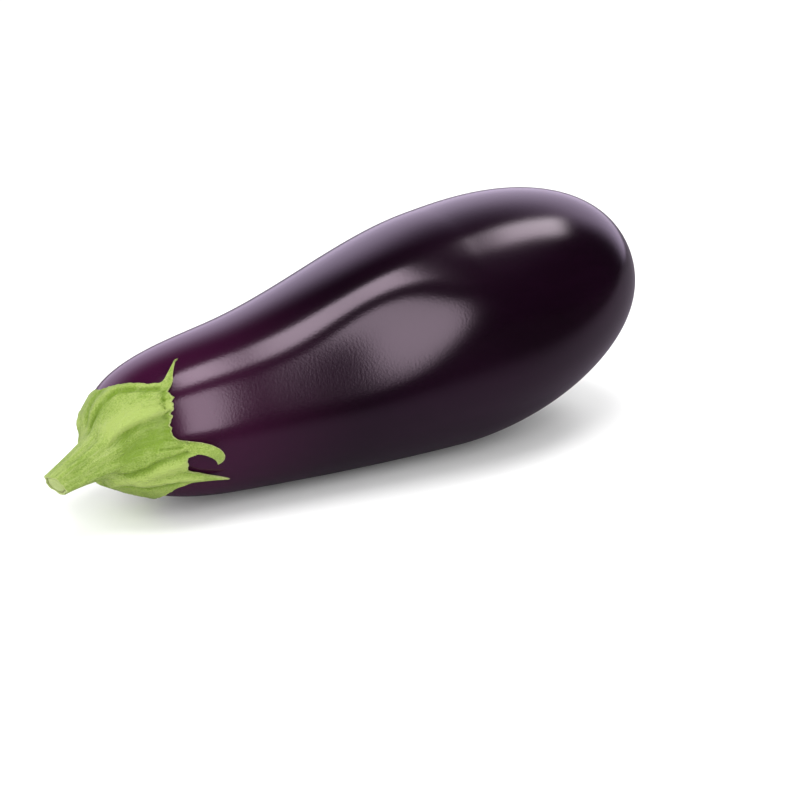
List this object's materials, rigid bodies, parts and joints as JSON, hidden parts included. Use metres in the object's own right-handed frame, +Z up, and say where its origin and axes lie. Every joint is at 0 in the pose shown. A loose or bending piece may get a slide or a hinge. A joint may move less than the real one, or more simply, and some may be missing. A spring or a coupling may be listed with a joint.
{
  "type": "eggplant",
  "caption": "Whole glossy dark purple eggplant lying on its side, with a green pointed-lobed calyx and a cut stem stub.",
  "frame": {"origin": "on the ground, under the middle of the whole object's bounding box", "axes": "+X from the stem end to the blossom end, +Z up, right-handed, metres"},
  "size_m": [0.2196, 0.0778, 0.0793],
  "materials": {
    "skin": "smooth waxy near-black purple skin, glossy",
    "calyx_green": "leafy, fibrous and matte, pale at the margins",
    "stem_green": "ridged and fibrous, matte, paler at the cut end"
  },
  "bodies": {
    "root": {"fruit": "skin", "calyx": "calyx_green", "stem": "stem_green"}
  },
  "joints": []
}
